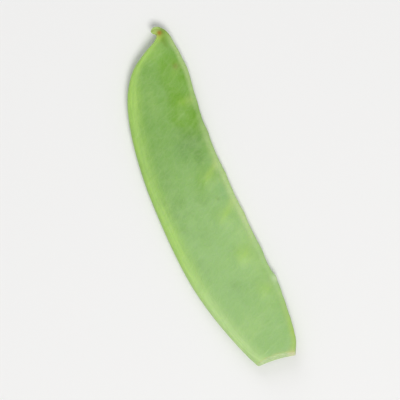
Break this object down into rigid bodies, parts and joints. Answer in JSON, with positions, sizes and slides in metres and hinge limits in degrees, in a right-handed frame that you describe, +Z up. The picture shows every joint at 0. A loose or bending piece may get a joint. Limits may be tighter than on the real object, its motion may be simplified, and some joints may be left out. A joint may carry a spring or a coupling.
{
  "type": "snow pea pod",
  "caption": "Flat green snow pea pod lying on its side, with low swellings over its seeds, two rounded seams, a square cut end and a hooked style stub on its beak.",
  "frame": {"origin": "on the surface that the pod lies on, under the middle of its box", "axes": "+X along the pod from the cut stem end to the beak, +Y from the front seam, which carries the seeds, to the back seam, +Z up away from the surface"},
  "size_m": [0.094, 0.0246, 0.0046],
  "materials": {
    "pod_skin": "satin"
  },
  "bodies": {
    "root": {"pod": "pod_skin"}
  },
  "joints": []
}
